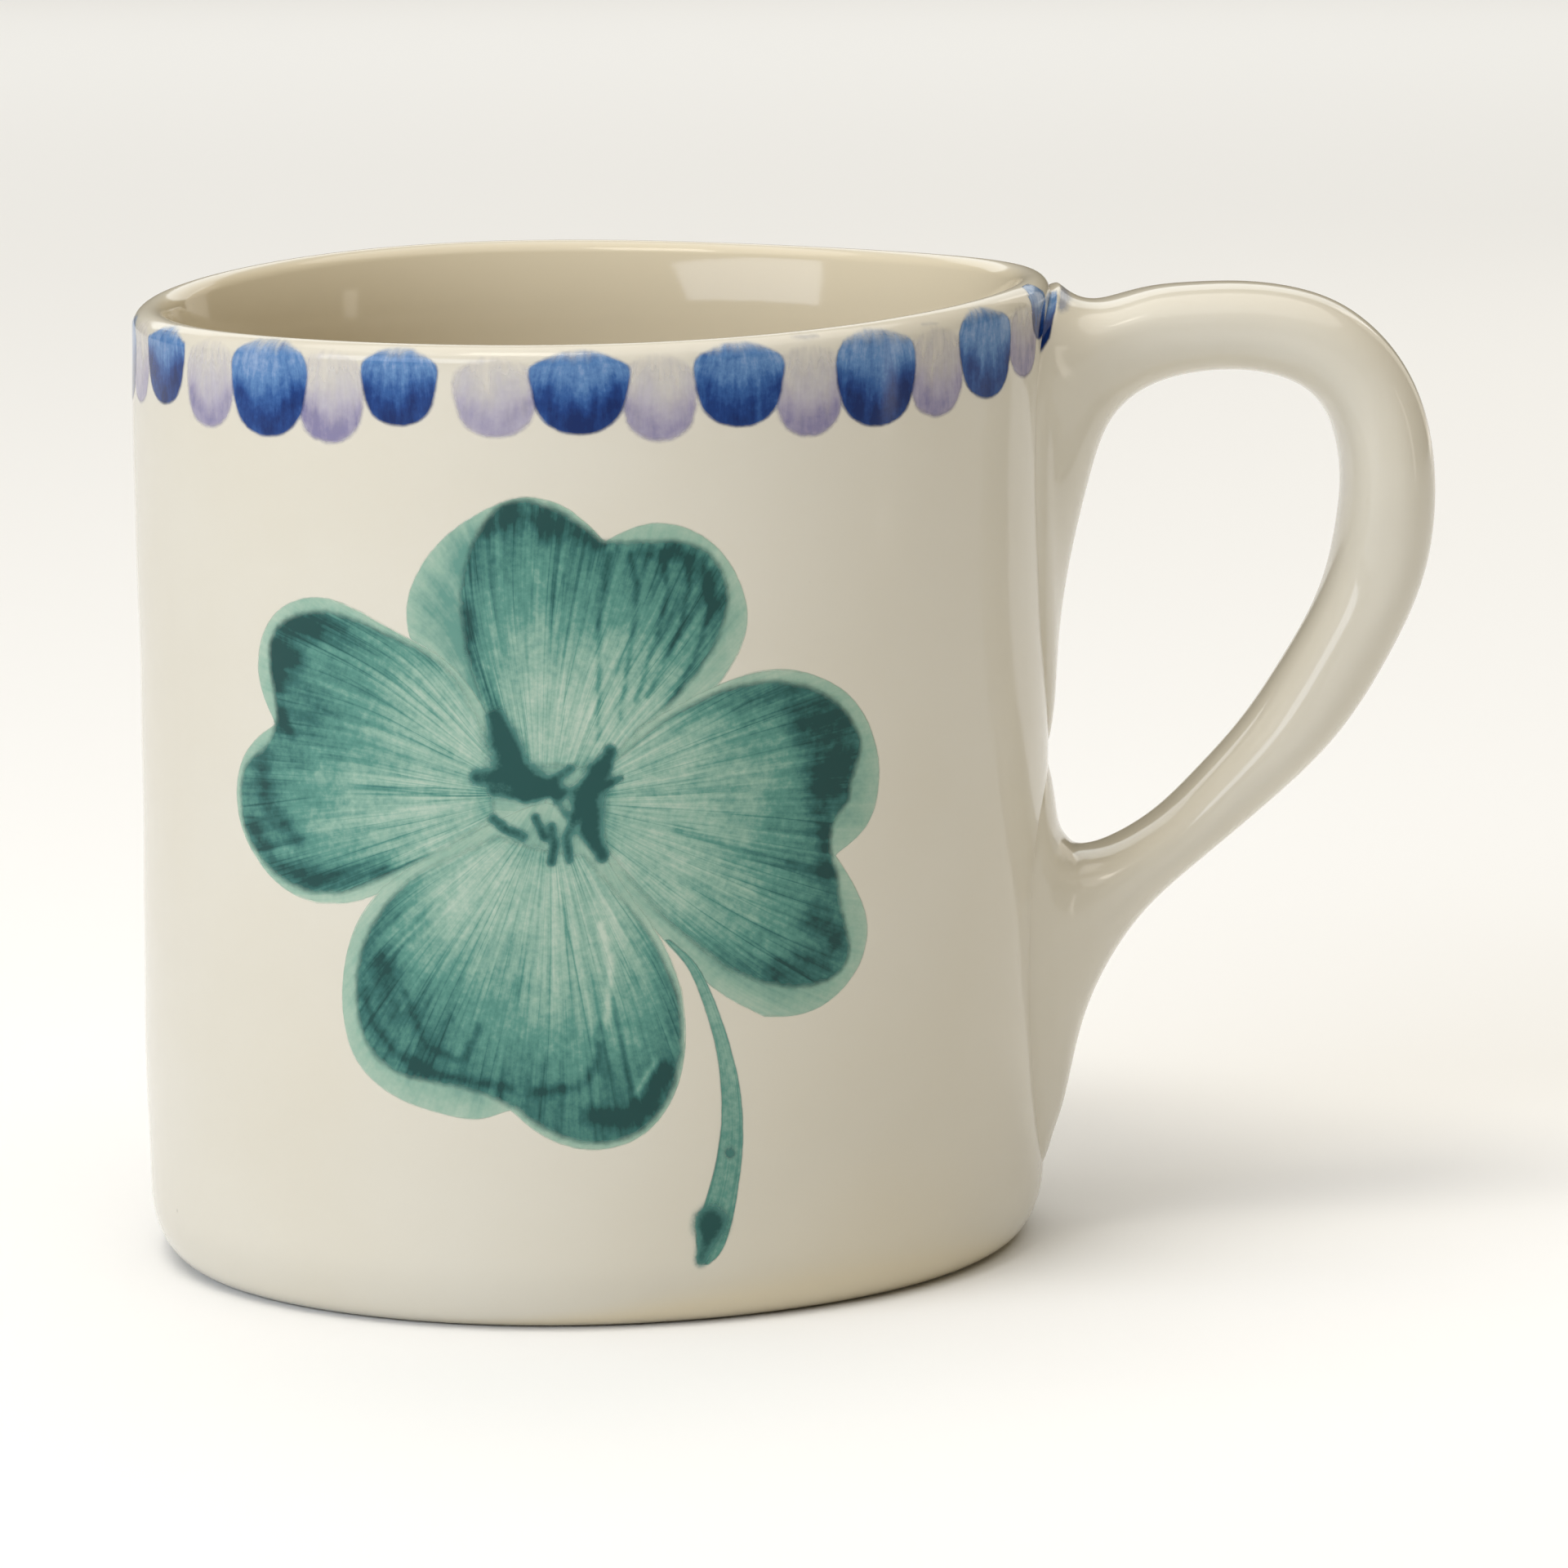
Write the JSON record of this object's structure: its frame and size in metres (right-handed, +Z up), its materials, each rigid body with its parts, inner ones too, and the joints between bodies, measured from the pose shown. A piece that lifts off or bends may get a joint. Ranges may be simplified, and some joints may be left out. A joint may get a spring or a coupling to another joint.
{
  "type": "mug",
  "caption": "Straight-sided glazed stoneware mug with a rounded loop handle, painted with a four-leaf clover and a scalloped border under the lip.",
  "frame": {"origin": "on the cup's axis, in the plane that the foot ring stands on", "axes": "+Z up the cup's axis, +X from the axis to the handle, the clover faces -Y"},
  "size_m": [0.1312, 0.0922, 0.0972],
  "materials": {
    "stoneware": "bare fired clay, fine and slightly sandy",
    "cream_glaze": "glossy clear glaze over a cream body",
    "green_wash": "thin translucent green stain under gloss",
    "green_strokes": "streaky teal green brush strokes under gloss",
    "dark_green": "pooled dark green stain under gloss",
    "blue_stain": "cobalt blue brush strokes under gloss",
    "lavender_stain": "thin lavender stain under gloss"
  },
  "bodies": {
    "root": {"cup_floor": "stoneware", "cup_wall": "stoneware", "foot_ring": "stoneware", "handle_loop": "stoneware", "upper_handle_joint": "stoneware", "lower_handle_joint": "stoneware", "outer_glaze": "cream_glaze", "liner_glaze": "cream_glaze", "base_glaze": "cream_glaze", "handle_glaze": "cream_glaze", "top_leaf_wash": "green_wash", "left_leaf_wash": "green_wash", "right_leaf_wash": "green_wash", "bottom_leaf_wash": "green_wash", "clover_stem": "green_wash", "top_leaf_strokes": "green_strokes", "left_leaf_strokes": "green_strokes", "right_leaf_strokes": "green_strokes", "bottom_leaf_strokes": "green_strokes", "clover_centre": "dark_green", "stem_drop": "dark_green", "blue_scallops": "blue_stain", "lavender_scallops": "lavender_stain"}
  },
  "joints": []
}
